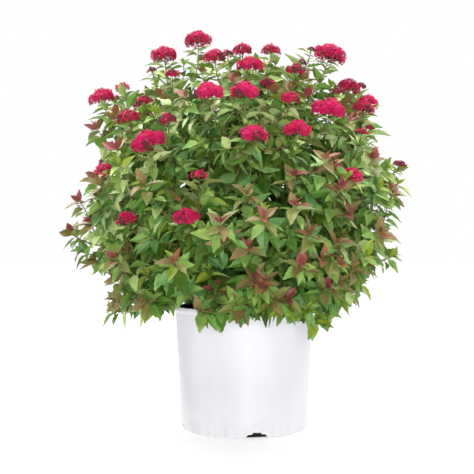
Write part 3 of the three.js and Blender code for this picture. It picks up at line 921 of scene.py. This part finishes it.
# how far leaves keep from the pot and the heads, and the points on a leaf, along and across, that are tried
clearance = {
    "pot": 0.002, "head": 0.012, "headFoot": 0.12, "notchReach": 0.9,
    "points": [(0.0, 0), (0.2, 0), (0.45, 0.22), (0.45, -0.22), (0.75, 0.1), (0.75, -0.1), (1.0, 0)],
}
spray = {
    "seed": 7, "roll": 36, "droop": 0.28, "uprightDroop": 0.26,
    "tipLengths": [0.012, 0.016, 0.020, 0.023], "tipSpreads": [12, 22, 32, 44],
    "tintedTipLengths": [0.020, 0.026, 0.031, 0.034], "tintedTipSpreads": [14, 30, 46, 58],
    "tipShown": 3, "tipStep": 0.0012, "tipFrom": 0.6, "spreadWander": [0.8, 1.2], "lengthWander": [0.85, 1.2],
    "collarCount": 5, "collarSpread": [50, 68], "collarLength": [0.030, 0.042], "collarStep": 0.0040,
    "collarDroop": 0.32, "collarFrom": 0.5,
    "bodySpread": [62, 86], "bodyLength": [0.032, 0.048], "mainSpacing": 0.0110, "fineSpacing": 0.0100,
    "spacingWander": [0.85, 1.15], "firstSpacing": 0.6, "bareFoot": 0.05,
    "innerFrom": 0.25, "innerSpacing": 0.0075, "innerDeepShare": 0.6, "innerTurn": 17,
}
# small leaves close under a flower head, then the fresh ones on the shoot below it
bract = {
    "count": 7, "first": 0.006, "step": 0.0035, "lengths": [0.018, 0.030], "spreads": [56, 80], "droop": 0.05,
    "width": 0.6, "fullHead": 0.030, "pieces": ["leavesOlive", "leavesMid", "leavesFresh"],
}
underHead = {
    "below": 0.085, "spacing": 0.0080, "droop": -0.02, "spreads": [50, 74], "width": 0.74, "wideBelow": 0.12,
    "freshShare": 0.7, "pieces": ["leavesPale", "leavesFresh", "leavesPale", "leavesOlive"],
}
# painted light and shade for the leaves: from where and how much they turn pale upwards and sideways, more on
# the left than the right, how the shares are dealt, and how far inside the crown they turn deeper green
paintedLightAndShade = {
    "paleFrom": 0.45, "paleTo": 0.60, "paleShare": 0.95, "sideFrom": 0.10, "sideTo": 0.24,
    "leftShare": 1.0, "rightShare": 0.40, "palest": 0.65, "innerDepth": 0.062, "innermost": 0.7,
}
# leavesPale is a paler copy of the fresh green that greenFor deals out as painted light high up and at the
# flanks
greens = {
    "leavesPale": (shade(158, 184, 114), shade(186, 202, 134)),
    "leavesFresh": (shade(106, 150, 68), shade(138, 166, 82)),
    "leavesMid": (shade(78, 122, 44), shade(106, 138, 56)),
    "leavesCool": (shade(76, 122, 60), shade(104, 142, 78)),
    "leavesDeep": (shade(50, 84, 14), shade(82, 104, 18)),
    "leavesLime": (shade(114, 143, 40), shade(142, 158, 50)),
    "leavesOlive": (shade(112, 121, 56), shade(130, 134, 72)),
    "leavesBronze": (shade(114, 101, 56), shade(128, 109, 63)),
    "leavesOrange": (shade(132, 86, 60), shade(146, 98, 68)),
    "leavesCrimson": (shade(132, 58, 64), shade(150, 82, 74)),
}
strongTints = ("leavesCrimson", "leavesOrange", "leavesBronze")
# the piece of a spray's tip leaves, then of the leaves below them in order
sprayColours = {
    "crimson": (
        "leavesCrimson", ["leavesBronze", "leavesOlive", "leavesOlive", "leavesFresh", "leavesFresh"],
    ),
    "orange": ("leavesOrange", ["leavesBronze", "leavesOlive", "leavesLime", "leavesFresh", "leavesFresh"]),
    "bronze": ("leavesBronze", ["leavesBronze", "leavesOlive", "leavesOlive", "leavesFresh", "leavesMid"]),
    "lime": ("leavesLime", ["leavesLime", "leavesLime", "leavesFresh", "leavesFresh", "leavesMid"]),
    "fresh": ("leavesFresh", ["leavesFresh", "leavesFresh", "leavesMid", "leavesFresh", "leavesMid"]),
    "plain": ("leavesFresh", ["leavesMid", "leavesFresh", "leavesCool", "leavesMid", "leavesCool"]),
}
# a draw from 0 to 1 gives the first name whose limit it stays under
greenLimits = (("leavesDeep", 0.1), ("leavesCool", 0.38), ("leavesMid", 0.8))
tintLimits = (("crimson", 0.05), ("orange", 0.09), ("bronze", 0.16), ("lime", 0.26), ("fresh", 0.52))


def leafTemplate(droop, seed):
    # a pointed toothed blade on a short stalk, folded up along its midrib and arched towards its tip
    rows = len(leaf["stations"]) - 1
    bm = bmesh.new()
    bmesh.ops.create_grid(bm, x_segments=2, y_segments=rows, size=1)
    for corner in bm.verts:
        row = round((corner.co.y + 1) / 2 * rows)
        along, half = leaf["stations"][row], leaf["halfWidths"][row]
        side = round(corner.co.x)
        inOut = 1 if row % 2 else -1
        tooth = leaf["teeth"] * inOut if 1 < row < rows else 0
        vein = leaf["veins"] * abs(side) * inOut if 1 < row < rows - 1 else 0
        wave = math.sin(along * leaf["rippleWaves"] + side * leaf["rippleSide"] + seed)
        ripple = leaf["ripple"] * wave * half
        lift = abs(side) * leaf["fold"] * half - droop * along * along + ripple + vein
        corner.co = (side * (half + tooth), along * (1 - leaf["shortening"] * droop * along), lift)
    bmesh.ops.remove_doubles(bm, verts=bm.verts, dist=1e-5)
    return templateFrom(bm)


def tintOf(tip):
    # coloured sprays keep their tint, and the others are mostly green with a few fresh or tinted
    return tip["tint"] if "tint" in tip else dealt(chance(tip["key"] + 0.77), tintLimits, "plain")


def depthOf(spot, outline):
    # how far a spot lies inside the crown's outline there
    offset = spot - crown["heart"]
    far = np.linalg.norm(offset)
    return crownReach(math.degrees(math.asin(offset[2] / far))) * outline - far


def greenFor(depth, spot, random):
    # leaves are deeper green inside the crown, partly as older leaves and partly as painted shade, and paler
    # high up and far out to either side, more on the left, as painted light
    draw = random.random()
    upwards = (spot[2] - paintedLightAndShade["paleFrom"]) / (paintedLightAndShade["paleTo"] - paintedLightAndShade["paleFrom"])
    aside = (abs(spot[0]) - paintedLightAndShade["sideFrom"]) / (paintedLightAndShade["sideTo"] - paintedLightAndShade["sideFrom"])
    asideShare = paintedLightAndShade["leftShare" if spot[0] < 0 else "rightShare"]
    isHigh = random.random() < max(paintedLightAndShade["paleShare"] * min(1, upwards), asideShare * min(1, aside))
    if depth > paintedLightAndShade["innerDepth"]:
        pair = ("leavesMid", "leavesFresh") if isHigh else ("leavesDeep", "leavesMid")
        return pair[draw >= paintedLightAndShade["innermost"]]
    if isHigh:
        return "leavesPale" if draw < paintedLightAndShade["palest"] else "leavesFresh"
    return dealt(draw, greenLimits, "leavesFresh")


def leafPlace(root, way, around, spread, length, droop, width=1, roll=0):
    # the three axes of a leaf: across, along and towards its face
    axis = way * math.cos(math.radians(spread)) + around * math.sin(math.radians(spread))
    axis = unit(axis - up * droop)
    face = way * leaf["faceOut"] + up * leaf["faceUp"]
    face = turnedRound(unit(face - axis * (face @ axis)), axis, roll)
    side = np.cross(axis, face)
    return root, length * np.array([side * width, axis, face])


def leavesOf(shoot, random):
    # every leaf of one shoot as (piece, template, place), from its end back towards its foot
    path, tip = shoot["path"], shoot["tip"]
    length = lengthOf(path)
    tipPiece, collarPieces = sprayColours[tintOf(tip)]
    outline = 1 + shapingAt(tip["turn"], tip["rise"])[0]
    turn = 360 * chance(tip["key"] + 0.1)
    leaves = []

    def put(piece, share, spread, size, droop, width=1):
        nonlocal turn
        way = waysOn(path, share)
        aslant = np.array([0.31, 0.17, -0.2])
        aslant = unit(aslant - way * (way @ aslant))
        around = turnedRound(aslant, way, turn)
        droop = droop + spray["uprightDroop"] * max(0, way[2]) ** 2 * (droop > 0)
        roll = random.uniform(-spray["roll"], spray["roll"])
        place = leafPlace(pointsOn(path, share), way, around, spread, size, droop, width, roll)
        leaves.append((piece, int(random.integers(len(leaf["droops"]))), place))
        turn += goldenTurn

    def oneOf(pieces):
        return pieces[int(random.integers(len(pieces)))]

    flowering = tip["width"] > 0
    spacing = spray[shoot["rank"] + "Spacing"]
    if flowering:
        for i in range(bract["count"]):
            share = 1 - (bract["first"] + bract["step"] * i) / length
            size = random.uniform(*bract["lengths"]) * min(1, tip["width"] / bract["fullHead"])
            piece = oneOf(bract["pieces"])
            put(piece, share, random.uniform(*bract["spreads"]), size, bract["droop"], bract["width"])
        back = underHead["spacing"]
    else:
        back = 0.0
        kind = "tintedTip" if tipPiece in strongTints else "tip"
        for i, (size, spread) in enumerate(zip(spray[kind + "Lengths"], spray[kind + "Spreads"])):
            share = max(spray["tipFrom"], 1 - back / length)
            piece = tipPiece if i < spray["tipShown"] else collarPieces[0]
            spread = spread * random.uniform(*spray["spreadWander"])
            put(piece, share, spread, size * random.uniform(*spray["lengthWander"]), 0)
            back += spray["tipStep"]
        for i in range(spray["collarCount"]):
            share = max(spray["collarFrom"], 1 - back / length)
            piece = collarPieces[min(i + int(random.integers(2)), len(collarPieces) - 1)]
            size = random.uniform(*spray["collarLength"])
            put(piece, share, random.uniform(*spray["collarSpread"]), size, spray["collarDroop"])
            back += spray["collarStep"]
        back += spacing * spray["firstSpacing"]
    while back < length * (1 - spray["bareFoot"]):
        share = 1 - back / length
        spot = pointsOn(path, share)
        nearHead = flowering and back < underHead["below"]
        piece = greenFor(depthOf(spot, outline), spot, random)
        if nearHead and random.random() < underHead["freshShare"]:
            piece = oneOf(underHead["pieces"])
        size = random.uniform(*spray["bodyLength"])
        width = lerp(underHead["width"], 1, min(1, back / underHead["wideBelow"])) if flowering else 1
        spread = random.uniform(*(underHead["spreads"] if nearHead else spray["bodySpread"]))
        put(piece, share, spread, size, underHead["droop"] if nearHead else spray["droop"], width)
        back += (underHead["spacing"] if nearHead else spacing) * random.uniform(*spray["spacingWander"])
    return leaves


def innerLeaves(limb, key, random):
    # plain leaves along the outer part of a stem or bough, so that the crown is leafy to its heart
    path, length = limb["path"], lengthOf(limb["path"])
    leaves = []
    for i in range(int(length * (1 - spray["innerFrom"]) / spray["innerSpacing"])):
        share = 1 - i * spray["innerSpacing"] / length
        way = waysOn(path, share)
        aslant = unit(np.cross(way, [0.2, 0.9, 0.1]))
        around = turnedRound(aslant, way, goldenTurn * (i + spray["innerTurn"] * key))
        # mostly deep green inside the crown: partly older leaves, partly painted shade
        piece = "leavesDeep" if random.random() < spray["innerDeepShare"] else "leavesMid"
        size, spread = random.uniform(*spray["bodyLength"]), random.uniform(*spray["bodySpread"])
        place = leafPlace(pointsOn(path, share), way, around, spread, size, spray["droop"])
        leaves.append((piece, int(random.integers(len(leaf["droops"]))), place))
    return leaves


def clearOfAll(leaves, heads):
    # leaves stay out of the open place in front, the pot, the mix and the flower heads
    roots = np.array([place[0] for _, _, place in leaves])
    axes = np.array([place[1] for _, _, place in leaves])
    clear = ~inNotch(roots) & ~inNotch(roots + clearance["notchReach"] * axes[:, 1])
    room = pot["lipProud"] + clearance["pot"]
    for share, side in clearance["points"]:
        spots = roots + share * axes[:, 1] + side * axes[:, 0]
        level, height = np.hypot(spots[:, 0], spots[:, 1]), spots[:, 2]
        clear &= (level > potRadiusAt(height) + room) | (height > pot["height"] + clearance["pot"])
        for point, way, radius, depth in heads:
            offset = spots - point
            high = offset @ way
            wide = np.linalg.norm(offset - high[:, None] * way, axis=1)
            within = (high > clearance["headFoot"] * depth) & (high < depth + clearance["head"])
            clear &= ~(within & (wide < radius + clearance["head"] / 2))
    return clear


def headSpaces():
    spaces = []
    for tip in mainList:
        if tip["width"]:
            point, way = finishAt(tip)
            spaces.append((point, way, tip["width"] / 2, tip["width"] * twig["headBack"]))
    return spaces


def buildLeaves():
    random = np.random.default_rng(spray["seed"])
    leaves = [each for shoot in shoots for each in leavesOf(shoot, random)]
    for key, limb in enumerate([*stems, *boughs]):
        leaves += innerLeaves(limb, key, random)
    clear = clearOfAll(leaves, headSpaces())
    templates = [leafTemplate(droop, i * leaf["rippleStep"]) for i, droop in enumerate(leaf["droops"])]
    for name, (low, high) in greens.items():
        placed = [
            (which, place) for (piece, which, place), kept in zip(leaves, clear) if kept and piece == name
        ]
        finish = finishOf(name, low, high, **leaf["finish"])
        joinedPiece(name, strewn(templates, placed), finish, foliageNodes, smooth=False)
    print("leaves laid:", int(clear.sum()))


buildLeaves()


# Flower heads: lumpy domes of five-petalled florets with stamens, and round buds where they are closed

floret = {
    "radius": 0.0034, "sizes": [0.82, 1.12], "spacing": 0.0041, "petals": 5, "cup": 0.28,
    "notchReach": 0.42, "petalReach": 0.58, "petalRound": 0.6, "nod": 0.18,
    "stamens": 6, "stamenLength": 1.05, "stamenLean": 26, "antherRadius": 0.13,
    "budRadius": 0.00125, "budSizes": [0.75, 1.15], "budSpacing": 0.0029, "strayBuds": 0.12,
}
dome = {
    "seed": 23, "middleRadius": 0.66, "middleRise": 0.80, "middleLift": 0.16,
    "lobes": 6, "lobeTurn": 0.25, "lobeRing": 0.62, "ringWander": [0.85, 1.1], "lobeLift": [0.02, 0.22],
    "lobeRadius": 0.40, "radiusWander": [0.75, 1.05], "lobeRise": 0.56, "riseWander": [0.8, 1.1],
    "lobeLean": 0.45, "closedLobes": 0.22, "closedOpen": 0.1, "openFrom": 0.3, "buried": 0.86,
    "fewest": 6, "radiusWeight": 0.35, "riseWeight": 0.65, "wrap": 1.12, "rough": 0.0009, "roughLift": 0.3,
    # the colour's wander, then painted shade down each lobe's sides and the share of florets it spares
    "depthWander": 0.28, "sideShadeDepth": 0.35, "sidesLeftUnshaded": 0.4,
}
flowerStalk = {
    "radius": 0.0007, "top": 0.2, "fineRadius": 0.00032, "fineFoot": 0.15, "fineShort": 0.0006, "sides": 3,
    "shift": 1e-6,
}
# each kind of piece on a flower head with its two tones
headTones = {
    "petalsMagenta": (shade(192, 4, 88), shade(208, 16, 104)),
    "petalsRaspberry": (shade(182, 2, 68), shade(200, 6, 80)),
    "petalsCrimson": (shade(150, 2, 44), shade(172, 4, 54)),
    "budsMaroon": (shade(84, 22, 42), shade(122, 32, 54)),
    "stamensRose": (shade(186, 22, 86), shade(206, 46, 106)),
    "flowerStalks": (shade(118, 74, 56), shade(132, 112, 66)),
}
headFinish = {"grain": 90, "roughness": 0.6, "bump": 0.2, "bumpGrain": 900, "gloss": 0.2, "sheen": 0.05}
petalLimits = (("petalsMagenta", 0.38), ("petalsRaspberry", 0.74))


def floretTemplate():
    # rounded petals from one notched disc, a little cupped
    bm = bmesh.new()
    bmesh.ops.create_circle(bm, cap_ends=True, cap_tris=True, segments=4 * floret["petals"], radius=1)
    for corner in bm.verts:
        if math.hypot(corner.co.x, corner.co.y) < 0.5:  # the middle
            continue
        lobe = abs(math.cos(floret["petals"] / 2 * math.atan2(corner.co.y, corner.co.x)))
        reach = floret["notchReach"] + floret["petalReach"] * lobe ** floret["petalRound"]
        corner.co.x *= reach
        corner.co.y *= reach
        corner.co.z = floret["cup"] * reach
    return templateFrom(bm)


def stamenTemplate():
    # slender stamens that widen from a point to their anthers
    whole = bmesh.new()
    for i in range(floret["stamens"]):
        before = set(whole.verts)
        bmesh.ops.create_cone(
            whole, cap_ends=True, cap_tris=False, segments=3, radius1=0, radius2=floret["antherRadius"],
            depth=floret["stamenLength"],
        )
        fresh = [corner for corner in whole.verts if corner not in before]
        bmesh.ops.translate(whole, vec=(0, 0, floret["stamenLength"] / 2), verts=fresh)
        tilt = Matrix.Rotation(math.radians(floret["stamenLean"]), 3, "Y")
        bmesh.ops.rotate(whole, cent=(0, 0, 0), matrix=tilt, verts=fresh)
        turn = Matrix.Rotation(2 * math.pi * i / floret["stamens"], 3, "Z")
        bmesh.ops.rotate(whole, cent=(0, 0, 0), matrix=turn, verts=fresh)
    bmesh.ops.remove_doubles(whole, verts=whole.verts, dist=1e-5)
    return templateFrom(whole)


def budTemplate():
    bm = bmesh.new()
    bmesh.ops.create_icosphere(bm, subdivisions=1, radius=1)
    return templateFrom(bm)


def axesFacing(way, size, turn):
    # three scaled axes with the third along the way
    across = unit(np.cross(way, [0.3, 0.2, 0.9] if abs(way[2]) < 0.9 else [1.0, 0.1, 0.0]))
    across = turnedRound(across, way, turn)
    return size * np.array([across, np.cross(way, across), way])


def lobesOf(tip, random):
    # the middle dome and the smaller lobes round it, each with its centre, radius, rise and way
    point, way = finishAt(tip)
    radius, depth = tip["width"] / 2, tip["width"] * twig["headBack"]
    across, other, _ = axesFacing(way, 1, 0)
    lobes = [{
        "centre": point + way * depth * dome["middleLift"], "radius": radius * dome["middleRadius"],
        "rise": depth * dome["middleRise"], "way": way, "open": tip["open"],
    }]
    for i in range(dome["lobes"]):
        place = i + random.uniform(-dome["lobeTurn"], dome["lobeTurn"])
        turn = 2 * math.pi * place / dome["lobes"] + tip["key"]
        out = across * math.cos(turn) + other * math.sin(turn)
        ring = radius * dome["lobeRing"] * random.uniform(*dome["ringWander"])
        lobes.append({
            "centre": point + out * ring + way * depth * random.uniform(*dome["lobeLift"]),
            "radius": radius * dome["lobeRadius"] * random.uniform(*dome["radiusWander"]),
            "rise": depth * dome["lobeRise"] * random.uniform(*dome["riseWander"]),
            "way": unit(way + dome["lobeLean"] * out),
            "open": tip["open"] * (1 if random.random() > dome["closedLobes"] else dome["closedOpen"]),
        })
    return lobes


def floretCount(lobe):
    spacing = floret["spacing" if lobe["open"] > dome["openFrom"] else "budSpacing"]
    girth = dome["radiusWeight"] * lobe["radius"] + dome["riseWeight"] * lobe["rise"]
    return max(dome["fewest"], int(2 * math.pi * lobe["radius"] * girth / spacing**2))


def isBuried(spot, lobe, lobes):
    return any(
        np.linalg.norm(spot - each["centre"]) < dome["buried"] * min(each["radius"], each["rise"])
        for each in lobes if each is not lobe
    )


def growHead(tip, laid, random):
    # florets and buds on a spiral over each lobe, left out inside the other lobes, every second on a stalk
    lobes = lobesOf(tip, random)
    point, _ = finishAt(tip)
    for lobe in lobes:
        centre, way, radius, rise = lobe["centre"], lobe["way"], lobe["radius"], lobe["rise"]
        across, other, _ = axesFacing(way, 1, 0)
        count = floretCount(lobe)
        laid["flowerStalks"].append((point, centre + way * flowerStalk["top"] * rise, flowerStalk["radius"]))
        for j in range(count):
            high = 1 - (j + 0.5) / count * dome["wrap"]
            wide = math.sqrt(max(0, 1 - high * high))
            turn = math.radians(goldenTurn * j)
            flat = across * math.cos(turn) * wide + other * math.sin(turn) * wide
            rough = random.uniform(-dome["rough"], dome["rough"])
            spot = centre + flat * radius + way * high * rise + unit(flat + way * dome["roughLift"]) * rough
            if isBuried(spot, lobe, lobes):
                continue
            outward = unit(flat / radius + way * high / rise)
            if j % 2:
                foot = centre - way * flowerStalk["fineFoot"] * rise
                end = spot - outward * flowerStalk["fineShort"]
                laid["flowerStalks"].append((foot, end, flowerStalk["fineRadius"]))
            if random.random() < lobe["open"] * (1 - floret["strayBuds"]):
                draw = tip["depth"] + random.uniform(-dome["depthWander"], dome["depthWander"])
                # painted shade: on most florets the petals turn deeper crimson down each lobe's sides, where
                # shade falls between the lobes
                draw += dome["sideShadeDepth"] * (1 - high) * (random.random() > dome["sidesLeftUnshaded"])
                size = floret["radius"] * random.uniform(*floret["sizes"])
                facing = unit(outward + floret["nod"] * random.normal(size=3))
                axes = axesFacing(facing, size, random.uniform(0, 360 / floret["petals"]))
                laid[dealt(draw, petalLimits, "petalsCrimson")].append((spot, axes))
                laid["stamensRose"].append((spot, axes))
            else:
                size = floret["budRadius"] * random.uniform(*floret["budSizes"])
                laid["budsMaroon"].append((spot, axesFacing(outward, size, 0)))


def stalkParts(stalks):
    template = tubeTemplate(flowerStalk["sides"], 1)
    parts = []
    for foot, head, radius in stalks:
        path = np.array([foot, lerp(foot, head, 1 / 3), lerp(foot, head, 2 / 3), head])
        path = path + flowerStalk["shift"] * unit(head - foot)  # a micron on towards the head
        parts.append(alongPath(template, path, np.full(len(template[0]), radius)))
    return parts


def buildHeads():
    random = np.random.default_rng(dome["seed"])
    laid = {name: [] for name in headTones}
    for tip in mainList:
        if tip["width"]:
            growHead(tip, laid, random)
    templates = {"budsMaroon": budTemplate, "stamensRose": stamenTemplate}
    for name, (low, high) in headTones.items():
        if name == "flowerStalks":
            parts = stalkParts(laid[name])
        else:
            parts = [laidOut(templates.get(name, floretTemplate)(), laid[name])]
        finish = finishOf(name, low, high, **headFinish)
        joinedPiece(name, parts, finish, foliageNodes, smooth=name == "budsMaroon")


buildHeads()
print("flower heads grown")


# Floor, light and camera

studio = {
    "floorSize": 60, "floorTone": shade(136, 136, 136), "floorGlow": 0.77,
    "floorFinish": {"grain": 2, "roughness": 0.7, "bump": 0, "bumpGrain": 12, "gloss": 0.1},
    "white": (1, 1, 1, 1), "worldSeen": 1.0, "worldLight": 0.16, "sunPower": 3.8, "sunSoftness": 1.2,
    "cameraPlace": (0, -1.6, 0.34), "aim": (-0.01416, 0, 0.37843), "lens": 60.08, "sensorWidth": 36,
    "farthestSeen": 200, "lightAim": (0, 0, 0.4),
}
# each soft light with its place, size and power
softLights = {
    "keyLight": ((0.3, -2.4, 2.8), 1.6, 8),
    "fillLight": ((0.1, -3.0, 0.4), 0.8, 46),
    "sideLight_1": ((-1.7, 0.5, 2.9), 1.4, 128),
    "sideLight_2": ((1.7, 0.5, 2.9), 1.4, 86),
}


def aimed(name, data, place, aim):
    # a light or camera that looks from its place towards its aim
    thing = bpy.data.objects.new(name, data)
    thing.location = place
    thing.rotation_euler = (Vector(aim) - Vector(place)).to_track_quat("-Z", "Y").to_euler()
    bpy.context.scene.collection.objects.link(thing)
    return thing


def addFloor():
    bm = bmesh.new()
    bmesh.ops.create_grid(bm, x_segments=1, y_segments=1, size=studio["floorSize"] / 2)
    floor = bpy.data.objects.new("floor", meshFromBmesh("floor", bm))
    bpy.context.scene.collection.objects.link(floor)
    finish = finishOf("paleFloor", studio["floorTone"], studio["floorTone"], **studio["floorFinish"])
    feed(finish, finish.node_tree.nodes["Principled BSDF"], {
        "Emission Color": studio["white"], "Emission Strength": studio["floorGlow"],
    })
    floor.data.materials.append(finish)


def addWorld():
    # seen white, and much dimmer as a light
    world = bpy.data.worlds.new("studioWorld")
    world.use_nodes = True
    strength = addNode(world, "MapRange", {
        "Value": addNode(world, "LightPath", {}).outputs["Is Camera Ray"],
        "To Min": studio["worldLight"], "To Max": studio["worldSeen"],
    })
    feed(world, world.node_tree.nodes["Background"], {
        "Color": studio["white"], "Strength": strength.outputs["Result"],
    })
    bpy.context.scene.world = world


def addLights():
    for name, (place, size, power) in softLights.items():
        light = bpy.data.lights.new(name, "AREA")
        light.size = size
        light.energy = power
        aimed(name, light, place, studio["lightAim"])
    overhead = bpy.data.lights.new("overheadLight", "SUN")
    overhead.energy = studio["sunPower"]
    overhead.angle = studio["sunSoftness"]
    bpy.context.scene.collection.objects.link(bpy.data.objects.new("overheadLight", overhead))


def addCamera():
    camera = bpy.data.cameras.new("camera")
    camera.lens = studio["lens"]
    camera.sensor_width = studio["sensorWidth"]
    camera.clip_end = studio["farthestSeen"]
    bpy.context.scene.camera = aimed("camera", camera, studio["cameraPlace"], studio["aim"])
    bpy.context.scene.view_settings.view_transform = "Standard"


addFloor()
addWorld()
addLights()
addCamera()
print("studio set")
